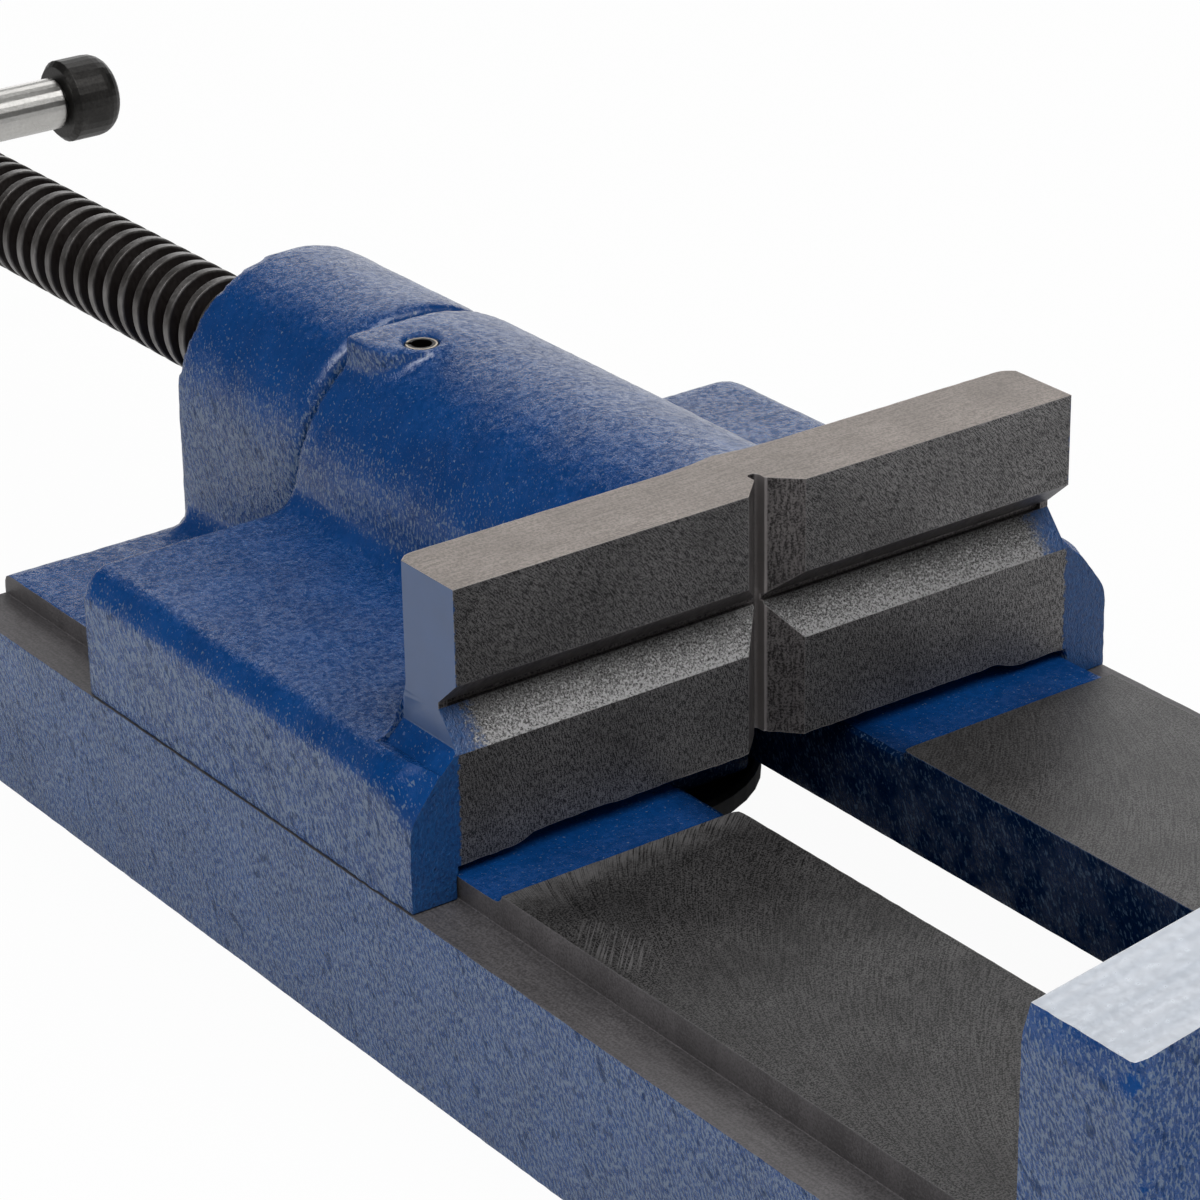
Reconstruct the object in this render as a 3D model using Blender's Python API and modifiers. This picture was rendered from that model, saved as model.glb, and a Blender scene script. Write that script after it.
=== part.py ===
"""Drill press vise: a cast base with a fixed jaw and a nut post, a grooved jaw that a screw
draws along the base, and a tommy bar that slides in the screw's head.

All lengths are in metres. +X runs along the jaws, +Y from the fixed jaw towards the handle,
and +Z up from the underside of the base."""
import math

import bmesh
import bpy
from mathutils import Matrix, Vector

# Jaws
jaw_width = 0.110
jaw_height = 0.0416
jaw_thickness = 0.0137
jaw_corner_radius = 0.0025
shoulder_half_flat = 0.037
shoulder_drop = 0.0034
fixed_top_thickness = 0.016
fixed_edge_radius = 0.0006
fixed_back_slope = 0.007
fixed_back_foot = 0.017
fixed_foot_height = 0.012
fixed_foot_radius = 0.016
fixed_corner_radius = 0.005
back_rib_width = 0.010
back_cheek_width = 0.012
back_pocket_floor = 0.002
fixed_web = 0.009
back_pocket_radius = 0.005
back_pocket_margin = 0.010

# Grooves in the moving jaw's face
groove_drop = 0.0143
groove_upper_flank = 0.0045
groove_lower_flank = 0.0058
groove_depth = 0.0044
groove_relief_width = 0.0010
groove_relief_depth = 0.0008
prism_groove_width = 0.0102
prism_groove_depth = 0.0050
prism_relief_width = 0.0018
prism_relief_depth = 0.0012

# Travel and screw
thread_pitch = 0.005
closing_turns = 24.5
opening_turns = 0.5
stop_gap = 0.0005
screw_diameter = 0.018
screw_drop = 0.0216
nose_diameter = 0.014
nose_depth = 0.026
nose_chamfer = 0.0015
spigot_diameter = 0.012
spigot_length = 0.012

# Base
deck_height = 0.0327
deck_margin = 0.0005
cast_deck_drop = 0.0014
milled_setback = 0.0105
ledge_drop = 0.0049
ledge_edge_radius = 0.0008
base_margin = 0.0006
rail_thickness = 0.0163
base_wall = 0.008
cavity_radius = 0.006
slot_width = 0.030
slot_corner_radius = 0.006
slot_front_margin = 0.011
ear_length = 0.022
ear_width = 0.026
ear_height = 0.012
ear_radius = 0.007
ear_inset = 0.001
ear_slot_width = 0.0125
ear_slot_depth = 0.016

# Nut post
post_radius = 0.0227
post_crest_drop = 0.0006
post_length = 0.0365
post_edge_radius = 0.0028
post_foot_radius = 0.007
post_inset = 0.0004

# Moving jaw behind its bar
slide_length = 0.088
wing_drop = 0.026
wing_edge_radius = 0.005
wing_left_corner_radius = 0.0012
wing_right_corner_radius = 0.0065
skirt_clearance = 0.0004
skirt_thickness = 0.0071
underside_gap = 0.0016
inner_corner_radius = 0.001
lobe_width = 0.0125
lobe_step = 0.0025
lobe_radius = 0.0012
flare_low_drop = 0.0323
flare_high_drop = 0.0243
flare_edge_radius = 0.003
flare_depth = 0.004
flare_fillet_radius = 0.009
spine_radius = 0.0255
spine_crest_drop = 0.0003
spine_fillet_radius = 0.005
boss_radius = 0.008
boss_left = 0.007
boss_setback = 0.0057
bar_fillet_radius = 0.004
lug_setback = 0.023
lug_length = 0.040
lug_side_clearance = 0.0004
lug_corner_radius = 0.003

# Keeper under the rails
keeper_diameter = 0.049
keeper_thickness = 0.004
keeper_chamfer = 0.0007
bolt_diameter = 0.010
bolt_engagement = 0.014
bolt_head_across_flats = 0.016
bolt_head_height = 0.0064
bolt_head_chamfer = 0.0009
lock_washer_diameter = 0.018
lock_washer_thickness = 0.0022
lock_washer_split = 0.0012

# Spring pins
pin_diameter = 0.005
pin_wall = 0.0008
pin_split = 0.0009
pin_setback = 0.0098
pin_recess = 0.0004
pin_length = 0.034
hub_pin_setback = 0.0062

# Handle
hub_diameter = 0.028
hub_length = 0.030
hub_clearance = 0.0035
hub_chamfer = 0.002
hub_neck_diameter = 0.022
hub_neck_length = 0.004
bar_setback = 0.020
bar_diameter = 0.010
bar_overall = 0.100
bar_spigot_diameter = 0.007
bar_spigot_length = 0.007
bar_chamfer = 0.0006
knob_diameter = 0.016
knob_length = 0.011
knob_round = 0.004
knob_chamfer = 0.001

# Clearances shared by every joint between pieces
touch_gap = 0.0003
overrun = 0.002
# How far a fillet's thin edge sinks into the face that it runs out on
fillet_sink = 0.00015
weld_distance = 0.000003
sliver_distance = 0.00003
# How far a machined face stands back from the rough face beside it
casting_step = 0.00015

# Facets
fine_step = math.radians(7.5)
coarse_step = math.radians(15.0)
turned_steps = 40
bore_steps = 32

# Travel worked out from the screw
closing_travel = closing_turns * thread_pitch
opening_travel = opening_turns * thread_pitch
opening = closing_travel + stop_gap

# Places along the base
hub_distance = slide_length + opening_travel + stop_gap + post_length + closing_travel + hub_clearance
front_reach = opening + fixed_top_thickness + fixed_back_slope + fixed_back_foot + ear_length
rear_reach = hub_distance + hub_length
face_y = (front_reach - rear_reach) / 2
bar_rear_y = face_y + jaw_thickness
slide_rear_y = face_y + slide_length
fixed_face_y = face_y - opening
base_front_y = face_y - front_reach + ear_length
post_front_y = slide_rear_y + opening_travel + stop_gap
base_rear_y = post_front_y + post_length
hub_front_y = face_y + hub_distance
hub_rear_y = hub_front_y + hub_length
milled_rear_y = face_y - milled_setback
lug_front_y = face_y + lug_setback
lug_rear_y = lug_front_y + lug_length
lug_centre_y = (lug_front_y + lug_rear_y) / 2
slot_front_y = fixed_face_y + slot_front_margin
slot_rear_y = lug_rear_y + opening_travel + stop_gap + slot_corner_radius
pin_y = slide_rear_y - pin_setback
bar_y = hub_front_y + bar_setback

# Heights
jaw_top_z = deck_height + jaw_height
cast_deck_z = deck_height - cast_deck_drop
ledge_z = deck_height - ledge_drop
rail_under_z = deck_height - rail_thickness
underside_z = deck_height + underside_gap
lobe_z = deck_height + touch_gap
skirt_z = ledge_z + touch_gap
wing_top_z = jaw_top_z - wing_drop
screw_z = jaw_top_z - screw_drop
spine_centre_z = jaw_top_z - spine_crest_drop - spine_radius
spine_crest_z = spine_centre_z + spine_radius
post_centre_z = jaw_top_z - post_crest_drop - post_radius
keeper_top_z = rail_under_z - touch_gap
keeper_bottom_z = keeper_top_z - keeper_thickness
washer_top_z = keeper_bottom_z - touch_gap
washer_bottom_z = washer_top_z - lock_washer_thickness
bolt_seat_z = washer_bottom_z - touch_gap
lug_bottom_z = keeper_top_z + touch_gap

# Half widths
jaw_half = jaw_width / 2
deck_half = jaw_half + deck_margin
skirt_inner_x = deck_half + skirt_clearance
skirt_outer_x = skirt_inner_x + skirt_thickness
base_half = skirt_outer_x + base_margin
ear_x = base_half - ear_width / 2
screw_radius = screw_diameter / 2
nose_radius = nose_diameter / 2
pin_radius = pin_diameter / 2
# The spring pin passes beside the screw's axis and fills the groove in its nose.
groove_radius = nose_radius - pin_radius - touch_gap
pin_x = -(groove_radius + touch_gap + pin_radius)
pin_bottom_z = spine_crest_z - pin_recess - pin_length


def clear_scene():
    for item in list(bpy.data.objects):
        bpy.data.objects.remove(item, do_unlink=True)


def make_collection(name):
    collection = bpy.data.collections.new(name)
    bpy.context.scene.collection.children.link(collection)
    return collection


clear_scene()
vise = make_collection("drill_press_vise")
cutters = make_collection("cutters")


def make_material(name, colour, roughness, metallic):
    material = bpy.data.materials.new(name)
    material.use_nodes = True
    shader = material.node_tree.nodes["Principled BSDF"]
    shader.inputs["Base Color"].default_value = (*colour, 1.0)
    shader.inputs["Roughness"].default_value = roughness
    shader.inputs["Metallic"].default_value = metallic
    return material


def arc(centre_u, centre_v, radius, start, end, step=fine_step):
    """Points on an arc from angle start to angle end, both ends included."""
    count = max(2, math.ceil(abs(end - start) / step))
    points = []
    for index in range(count + 1):
        angle = start + (end - start) * index / count
        points.append((centre_u + radius * math.cos(angle), centre_v + radius * math.sin(angle)))
    return points


def rounded(corners, closed=True):
    """Turn corners (u, v, radius) into points, with an arc at each corner that has a radius."""
    points = []
    count = len(corners)
    for index, (u, v, radius) in enumerate(corners):
        inside = closed or 0 < index < count - 1
        if not radius or not inside:
            points.append((u, v))
            continue
        here = Vector((u, v))
        before = Vector(corners[index - 1][:2]) - here
        after = Vector(corners[(index + 1) % count][:2]) - here
        half_angle = before.angle(after) / 2
        before.normalize()
        after.normalize()
        centre = here + (before + after).normalized() * (radius / math.sin(half_angle))
        first = here + before * (radius / math.tan(half_angle)) - centre
        last = here + after * (radius / math.tan(half_angle)) - centre
        start = math.atan2(first.y, first.x)
        turn = math.atan2(first.x * last.y - first.y * last.x, first.dot(last))
        points += arc(centre.x, centre.y, radius, start, start + turn, coarse_step)
    return points


def mirrored(right):
    """Close a right half, listed from the bottom centre to the top centre, with its mirror."""
    left = [(-u, v) for u, v in reversed(right) if u > touch_gap]
    return right + left


def rectangle(low_u, low_v, high_u, high_v, radius=0):
    return [(low_u, low_v, radius), (high_u, low_v, radius), (high_u, high_v, radius), (low_u, high_v, radius)]


def link(item, collection, material=None):
    collection.objects.link(item)
    if material:
        item.data.materials.append(material)
    if collection == cutters:
        item.hide_render = True
        item.display_type = "WIRE"
    return item


def smooth(item):
    item.data.shade_smooth()
    item.data.set_sharp_from_angle(angle=math.radians(30))


# How an outline's two axes and its thickness lie in the model
plane_turns = {
    "XY": Matrix.Identity(4),
    "XZ": Matrix(((1, 0, 0, 0), (0, 0, -1, 0), (0, 1, 0, 0), (0, 0, 0, 1))),
    "YZ": Matrix(((0, 0, 1, 0), (1, 0, 0, 0), (0, 1, 0, 0), (0, 0, 0, 1))),
}
plane_normals = {"XY": Vector((0, 0, 1)), "XZ": Vector((0, 1, 0)), "YZ": Vector((1, 0, 0))}


def prism(name, outline, plane, start, end, collection, material=None):
    """Extrude a closed outline from start to end across its plane, as a welded mesh."""
    curve = bpy.data.curves.new(name + "_outline", "CURVE")
    curve.dimensions = "2D"
    curve.fill_mode = "BOTH"
    curve.extrude = (end - start) / 2
    spline = curve.splines.new("POLY")
    spline.points.add(len(outline) - 1)
    for point, (u, v) in zip(spline.points, outline):
        point.co = (u, v, 0, 1)
    spline.use_cyclic_u = True
    source = bpy.data.objects.new(name + "_outline", curve)
    bpy.context.scene.collection.objects.link(source)
    source.matrix_world = Matrix.Translation(plane_normals[plane] * (start + end) / 2) @ plane_turns[plane]
    bpy.context.view_layer.update()
    evaluated = source.evaluated_get(bpy.context.evaluated_depsgraph_get())
    mesh = bpy.data.meshes.new_from_object(evaluated)
    mesh.name = name
    weld(mesh)
    item = bpy.data.objects.new(name, mesh)
    item.matrix_world = source.matrix_world
    bpy.data.objects.remove(source, do_unlink=True)
    return link(item, collection, material)


def weld(mesh):
    form = bmesh.new()
    form.from_mesh(mesh)
    bmesh.ops.remove_doubles(form, verts=form.verts, dist=weld_distance)
    bmesh.ops.recalc_face_normals(form, faces=form.faces)
    form.to_mesh(mesh)
    form.free()


def turned(name, profile, place, axis, collection, material=None, closed=False, steps=turned_steps):
    """Turn a profile of (radius, height) points about an axis; it runs down its outer side."""
    mesh = bpy.data.meshes.new(name)
    points = [(radius, 0, height) for radius, height in profile]
    edges = [(index, index + 1) for index in range(len(points) - 1)]
    if closed:
        edges.append((len(points) - 1, 0))
    mesh.from_pydata(points, edges, [])
    item = bpy.data.objects.new(name, mesh)
    item.location = place
    if axis == "Y":
        item.rotation_euler = (-math.pi / 2, 0, 0)
    if axis == "X":
        item.rotation_euler = (0, math.pi / 2, 0)
    screw = item.modifiers.new("turn", "SCREW")
    screw.steps = steps
    screw.render_steps = steps
    screw.use_merge_vertices = True
    screw.merge_threshold = weld_distance
    link(item, collection, material)
    evaluated = item.evaluated_get(bpy.context.evaluated_depsgraph_get())
    item.data = bpy.data.meshes.new_from_object(evaluated)
    item.data.name = name
    item.modifiers.clear()
    smooth(item)
    return item


def bore(name, diameter, start, end, axis, steps=bore_steps):
    """A round cutter from the point start to the point end, both on one axis."""
    span = (Vector(end) - Vector(start)).length
    radius = diameter / 2
    profile = [(0, span), (radius, span), (radius, 0), (0, 0)]
    return turned(name, profile, start, axis, cutters, steps=steps)


def combine(item, other, operation):
    step = item.modifiers.new(other.name, "BOOLEAN")
    step.solver = "EXACT"
    step.operation = operation
    step.object = other


def close_slivers(item):
    """Merge corners that a Boolean leaves a hair apart."""
    step = item.modifiers.new("slivers", "WELD")
    step.merge_threshold = sliver_distance


def cut(item, other):
    combine(item, other, "DIFFERENCE")


def join(item, other):
    combine(item, other, "UNION")


# Base casting

def base_side_outline():
    """The whole base seen from its side: both decks, the fixed jaw and its sloping back."""
    back_top_y = fixed_face_y - fixed_top_thickness
    back_low_y = back_top_y - fixed_back_slope
    foot_z = ledge_z + fixed_foot_height
    corners = [
        (base_front_y, 0, 0),
        (base_rear_y, 0, 0),
        (base_rear_y, cast_deck_z, ledge_edge_radius),
        (milled_rear_y, cast_deck_z, 0),
        (milled_rear_y, deck_height, 0),
        (fixed_face_y, deck_height, 0),
        (fixed_face_y, jaw_top_z, fixed_edge_radius),
        (back_top_y, jaw_top_z, fixed_edge_radius),
        (back_low_y, foot_z, fixed_foot_radius),
        (base_front_y, ledge_z, fixed_edge_radius),
    ]
    return rounded(corners)


def ledge_cutter(side):
    """Lowers one side of the base to the ledge that the moving jaw's skirt runs above."""
    low, high = sorted((side * deck_half, side * (base_half + overrun)))
    outline = rounded(rectangle(low, ledge_z, high, jaw_top_z + overrun))
    name = f"ledge_{'right' if side > 0 else 'left'}"
    return prism(name, outline, "XZ", fixed_face_y - casting_step, base_rear_y + overrun, cutters)


def shoulder_cutter(side):
    """Takes the wedge off one end of the fixed jaw's top and rounds its outer corner."""
    outer = base_half + overrun
    fall = shoulder_drop / (base_half - shoulder_half_flat)
    corner_z = jaw_top_z - shoulder_drop
    corners = [
        (shoulder_half_flat, jaw_top_z, 0),
        (base_half, corner_z, fixed_corner_radius),
        (base_half, corner_z - fixed_corner_radius * 2, 0),
        (outer, corner_z - fixed_corner_radius * 2, 0),
        (outer, jaw_top_z + overrun, 0),
        (shoulder_half_flat - overrun / fall, jaw_top_z + overrun, 0),
    ]
    outline = [(side * u, v) for u, v in rounded(corners)]
    name = f"shoulder_{'right' if side > 0 else 'left'}"
    return prism(name, outline, "XZ", base_front_y - overrun, fixed_face_y + overrun, cutters)


def back_pocket(side):
    """The recess between the middle rib and a cheek at the back of the fixed jaw."""
    inner = back_rib_width / 2
    outer = base_half - back_cheek_width
    low, high = sorted((side * inner, side * outer))
    floor_z = ledge_z + back_pocket_floor
    outline = rounded(rectangle(low, floor_z, high, jaw_top_z - back_pocket_margin, back_pocket_radius))
    name = f"back_pocket_{'right' if side > 0 else 'left'}"
    return prism(name, outline, "XZ", base_front_y - overrun, fixed_face_y - fixed_web, cutters)


def post_outline():
    """The nut post seen along the screw: a round top on straight sides."""
    right = [(0, ledge_z), (post_radius, ledge_z)]
    right += arc(0, post_centre_z, post_radius, 0, math.pi / 2)
    return mirrored(right)


def post_feet_outline():
    """The hollow fillets between the post's sides and the deck."""
    foot_x = post_radius + post_foot_radius - fillet_sink
    foot_z = cast_deck_z + post_foot_radius - fillet_sink
    right = [(0, ledge_z + overrun), (foot_x, ledge_z + overrun)]
    right += arc(foot_x, foot_z, post_foot_radius, -math.pi / 2, -math.pi, coarse_step)
    right += [(0, foot_z)]
    return mirrored(right)


def ear_outline(side, end):
    """An ear that stands out past one end of the base, seen from above."""
    edge_y = base_front_y if end < 0 else base_rear_y
    low_x = ear_x - ear_width / 2
    high_x = ear_x + ear_width / 2 - ear_inset
    tip_y = edge_y + end * ear_length
    root_y = edge_y - end * base_wall / 2
    corners = [(low_x, root_y, 0), (high_x, root_y, 0), (high_x, tip_y, ear_radius), (low_x, tip_y, ear_radius)]
    return [(side * u, v) for u, v in rounded(corners)]


def ear_slot_outline(side, end):
    """The open slot for a holding-down bolt."""
    edge_y = base_front_y if end < 0 else base_rear_y
    tip_y = edge_y + end * ear_length
    radius = ear_slot_width / 2
    seat_y = tip_y - end * (ear_slot_depth - radius)
    outline = [(ear_x + radius, tip_y + end * overrun)]
    outline += arc(ear_x, seat_y, radius, 0, -end * math.pi, coarse_step)
    outline += [(ear_x - radius, tip_y + end * overrun)]
    return [(side * u, v) for u, v in outline]


def build_base(material):
    base = prism("base_casting", base_side_outline(), "YZ", -base_half, base_half, vise, material)
    for side in (-1, 1):
        cut(base, ledge_cutter(side))
        cut(base, shoulder_cutter(side))
        cut(base, back_pocket(side))

    post_rear_y = base_rear_y - post_inset
    post = prism("nut_post", post_outline(), "XZ", post_front_y, post_rear_y, cutters)
    edge = post.modifiers.new("edges", "BEVEL")
    edge.width = post_edge_radius
    edge.segments = 4
    edge.limit_method = "ANGLE"
    edge.angle_limit = math.radians(60)
    join(base, post)
    feet_front_y = post_front_y + post_edge_radius + casting_step
    feet_rear_y = post_rear_y - post_edge_radius - casting_step
    join(base, prism("post_feet", post_feet_outline(), "XZ", feet_front_y, feet_rear_y, cutters))
    close_slivers(base)

    for end in (-1, 1):
        for side in (-1, 1):
            name = f"ear_{'left' if side < 0 else 'right'}_{'front' if end < 0 else 'rear'}"
            join(base, prism(name, ear_outline(side, end), "XY", casting_step, ear_height, cutters))

    cavity = rounded(rectangle(-base_half + base_wall, base_front_y + base_wall, base_half - base_wall,
                               base_rear_y - base_wall, cavity_radius))
    cut(base, prism("cavity", cavity, "XY", -overrun, rail_under_z, cutters))

    slot = rounded(rectangle(-slot_width / 2, slot_front_y, slot_width / 2, slot_rear_y, slot_corner_radius))
    cut(base, prism("slot", slot, "XY", rail_under_z - overrun, deck_height + overrun, cutters))

    for end in (-1, 1):
        for side in (-1, 1):
            name = f"ear_slot_{'left' if side < 0 else 'right'}_{'front' if end < 0 else 'rear'}"
            cut(base, prism(name, ear_slot_outline(side, end), "XY", -overrun, ear_height + overrun, cutters))

    start = (0, post_front_y - overrun, screw_z)
    end = (0, base_rear_y + overrun, screw_z)
    cut(base, bore("nut_bore", screw_diameter + 2 * touch_gap, start, end, "Y"))
    return base


# Moving jaw

def spine_and_wings():
    """Half of the section behind the jaw bar: skirt, wing, hollow fillet and round spine."""
    inner_x = skirt_inner_x + casting_step
    rough_z = underside_z + casting_step
    corners = [
        (0, rough_z, 0),
        (inner_x, rough_z, inner_corner_radius),
        (inner_x, skirt_z + casting_step, 0),
        (skirt_outer_x, skirt_z + casting_step, 0),
        (skirt_outer_x, wing_top_z, wing_edge_radius),
        (spine_radius, wing_top_z, 0),
    ]
    right = rounded(corners, closed=False)[:-1]
    fillet_z = wing_top_z + spine_fillet_radius
    reach = spine_radius + spine_fillet_radius
    fillet_x = math.sqrt(reach ** 2 - (fillet_z - spine_centre_z) ** 2)
    meeting = math.atan2(fillet_z - spine_centre_z, fillet_x)
    right += arc(fillet_x, fillet_z, spine_fillet_radius, -math.pi / 2, -math.pi + meeting, coarse_step)
    right += arc(0, spine_centre_z, spine_radius, meeting, math.pi / 2)[1:]
    return mirrored(right)


def bar_section():
    """Half of the jaw bar seen from the front, with the flare that runs out to the skirt."""
    lobe_x = jaw_half - lobe_width
    outer_x = skirt_outer_x - casting_step
    corners = [
        (0, underside_z, 0),
        (lobe_x, underside_z, lobe_radius),
        (lobe_x + lobe_step, lobe_z, lobe_radius),
        (skirt_inner_x, lobe_z, 0),
        (skirt_inner_x, skirt_z, 0),
        (outer_x, skirt_z, 0),
        (outer_x, jaw_top_z - flare_low_drop, flare_edge_radius),
        (jaw_half, jaw_top_z - flare_high_drop, flare_fillet_radius),
        (jaw_half, jaw_top_z, 0),
        (0, jaw_top_z, 0),
    ]
    return mirrored(rounded(corners, closed=False))


def boss_outline():
    """The flat boss round the spring pin, open to the spine's rear end, seen from above."""
    rear_y = slide_rear_y + boss_radius
    outline = [(boss_radius - boss_left, rear_y), (-boss_radius - boss_left, rear_y)]
    outline += arc(-boss_left, slide_rear_y - boss_setback, boss_radius, math.pi, 2 * math.pi)
    return outline


def corner_cutter(side, half, edge_y, radius, low_z, high_z, name):
    """Rounds one upright rear corner, seen from above."""
    corners = [(half - radius, edge_y), (half - radius, edge_y + overrun), (half + overrun, edge_y + overrun)]
    corners += [(half + overrun, edge_y - radius)]
    corners += arc(half - radius, edge_y - radius, radius, 0, math.pi / 2, coarse_step)[:-1]
    outline = [(side * u, v) for u, v in corners]
    return prism(name, outline, "XY", low_z, high_z, cutters)


def bar_fillet():
    """The hollow fillet between the back of the jaw bar and the top of the wings."""
    centre_y = bar_rear_y + bar_fillet_radius - fillet_sink
    centre_z = wing_top_z + bar_fillet_radius - fillet_sink
    outline = [(bar_rear_y - overrun, wing_top_z - overrun), (centre_y, wing_top_z - overrun)]
    outline += arc(centre_y, centre_z, bar_fillet_radius, -math.pi / 2, -math.pi, coarse_step)
    outline += [(bar_rear_y - overrun, centre_z)]
    reach = jaw_half - jaw_corner_radius
    return prism("bar_fillet", outline, "YZ", -reach, reach, cutters)


def long_groove():
    """The level groove across the face, with a narrow relief at its root."""
    edge_z = jaw_top_z - groove_drop
    root_z = edge_z - groove_upper_flank
    relief = groove_relief_width / 2
    root_y = face_y + groove_depth
    outline = [
        (face_y - overrun, edge_z + overrun),
        (root_y, root_z + relief),
        (root_y + groove_relief_depth, root_z + relief),
        (root_y + groove_relief_depth, root_z - relief),
        (root_y, root_z - relief),
        (face_y, root_z - groove_lower_flank),
        (face_y - overrun, root_z - groove_lower_flank),
    ]
    outline[0] = (face_y, edge_z)
    outline.insert(0, (face_y - overrun, edge_z))
    return prism("long_groove", outline, "YZ", -jaw_half - overrun, jaw_half + overrun, cutters)


def prism_groove():
    """The upright groove in the middle of the face, with a round-ended relief at its root."""
    half = prism_groove_width / 2
    relief = prism_relief_width / 2
    root_y = face_y + prism_groove_depth
    outline = [(-half, face_y - overrun), (half, face_y - overrun), (half, face_y), (relief, root_y - relief)]
    outline += arc(0, root_y + prism_relief_depth - relief, relief, 0, math.pi, coarse_step)
    outline += [(-relief, root_y - relief), (-half, face_y)]
    return prism("prism_groove", outline, "XY", ledge_z, jaw_top_z + overrun, cutters)


def build_moving_jaw(material):
    jaw = prism("moving_jaw", bar_section(), "XZ", face_y, bar_rear_y, vise, material)
    start = face_y + flare_depth
    join(jaw, prism("spine_and_wings", spine_and_wings(), "XZ", start, slide_rear_y + overrun, cutters))
    close_slivers(jaw)
    join(jaw, prism("boss", boss_outline(), "XY", wing_top_z - overrun, spine_crest_z + casting_step, cutters))
    join(jaw, bar_fillet())

    lug_half = slot_width / 2 - lug_side_clearance
    lug = rounded(rectangle(-lug_half, lug_front_y, lug_half, lug_rear_y, lug_corner_radius))
    join(jaw, prism("lug", lug, "XY", lug_bottom_z, underside_z + overrun, cutters))

    reach = base_half + overrun
    tail = rounded(rectangle(-reach, slide_rear_y, reach, slide_rear_y + boss_radius + overrun))
    cut(jaw, prism("tail", tail, "XY", 0, jaw_top_z + overrun, cutters))

    cut(jaw, long_groove())
    cut(jaw, prism_groove())
    bar_low_z = jaw_top_z - flare_high_drop + flare_fillet_radius / 2
    for side, word, wing_radius in ((-1, "left", wing_left_corner_radius), (1, "right", wing_right_corner_radius)):
        cut(jaw, corner_cutter(side, jaw_half, bar_rear_y, jaw_corner_radius, bar_low_z, jaw_top_z + overrun,
                               f"bar_corner_{word}"))
        cut(jaw, corner_cutter(side, skirt_outer_x, slide_rear_y, wing_radius, 0, wing_top_z + overrun,
                               f"wing_corner_{word}"))
    close_slivers(jaw)

    start = (0, slide_rear_y - nose_depth - touch_gap, screw_z)
    end = (0, slide_rear_y + overrun, screw_z)
    cut(jaw, bore("nose_bore", nose_diameter + 2 * touch_gap, start, end, "Y"))
    start = (pin_x, pin_y, underside_z - overrun)
    end = (pin_x, pin_y, spine_crest_z + overrun)
    cut(jaw, bore("pin_bore", pin_diameter + 2 * touch_gap, start, end, "Z", steps=24))
    start = (0, lug_centre_y, lug_bottom_z - overrun)
    end = (0, lug_centre_y, lug_bottom_z + bolt_engagement + touch_gap)
    cut(jaw, bore("bolt_bore", bolt_diameter + 2 * touch_gap, start, end, "Z", steps=24))
    return jaw


# Keeper, bolt and washer under the rails

def build_keeper(material):
    radius = keeper_diameter / 2
    hole = bolt_diameter / 2 + touch_gap
    profile = [
        (hole, keeper_thickness),
        (radius - keeper_chamfer, keeper_thickness),
        (radius, keeper_thickness - keeper_chamfer),
        (radius, keeper_chamfer),
        (radius - keeper_chamfer, 0),
        (hole, 0),
    ]
    return turned("keeper_plate", profile, (0, lug_centre_y, keeper_bottom_z), "Z", vise, material, closed=True)


def build_keeper_bolt(material):
    flat = bolt_head_across_flats / 2
    corner = flat / math.cos(math.pi / 6)
    hexagon = [(u, lug_centre_y + v) for u, v in arc(0, 0, corner, 0, 2 * math.pi, math.pi / 3)[:-1]]
    bolt = prism("keeper_bolt", hexagon, "XY", bolt_seat_z - bolt_head_height, bolt_seat_z, vise, material)
    cone = [
        (0, bolt_head_height + overrun),
        (corner + overrun, bolt_head_height + overrun),
        (corner + overrun, bolt_head_chamfer + overrun),
        (flat, 0),
        (0, 0),
    ]
    trim = turned("bolt_head_chamfer", cone, (0, lug_centre_y, bolt_seat_z - bolt_head_height), "Z", cutters)
    combine(bolt, trim, "INTERSECT")
    length = lug_bottom_z + bolt_engagement - touch_gap - bolt_seat_z
    radius = bolt_diameter / 2
    shank = [
        (0, length),
        (radius - bolt_head_chamfer, length),
        (radius, length - bolt_head_chamfer),
        (radius, -overrun),
        (0, -overrun),
    ]
    join(bolt, turned("bolt_shank", shank, (0, lug_centre_y, bolt_seat_z), "Z", cutters, steps=24))
    return bolt


def split_ring(name, outer, inner, split, centre, heading, start, end, plane, material):
    """A ring with a gap: a lock washer, or a spring pin when it is long."""
    outer_half = math.asin(split / 2 / outer)
    inner_half = math.asin(split / 2 / inner)
    step = math.radians(12)
    outline = arc(centre[0], centre[1], outer, heading + outer_half, heading + 2 * math.pi - outer_half, step)
    outline += arc(centre[0], centre[1], inner, heading + 2 * math.pi - inner_half, heading + inner_half, step)
    ring = prism(name, outline, plane, start, end, vise, material)
    smooth(ring)
    return ring


def build_lock_washer(material):
    return split_ring("lock_washer", lock_washer_diameter / 2, bolt_diameter / 2 + touch_gap, lock_washer_split,
                      (0, lug_centre_y), math.radians(60), washer_bottom_z, washer_top_z, "XY", material)


# Screw and handle

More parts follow.
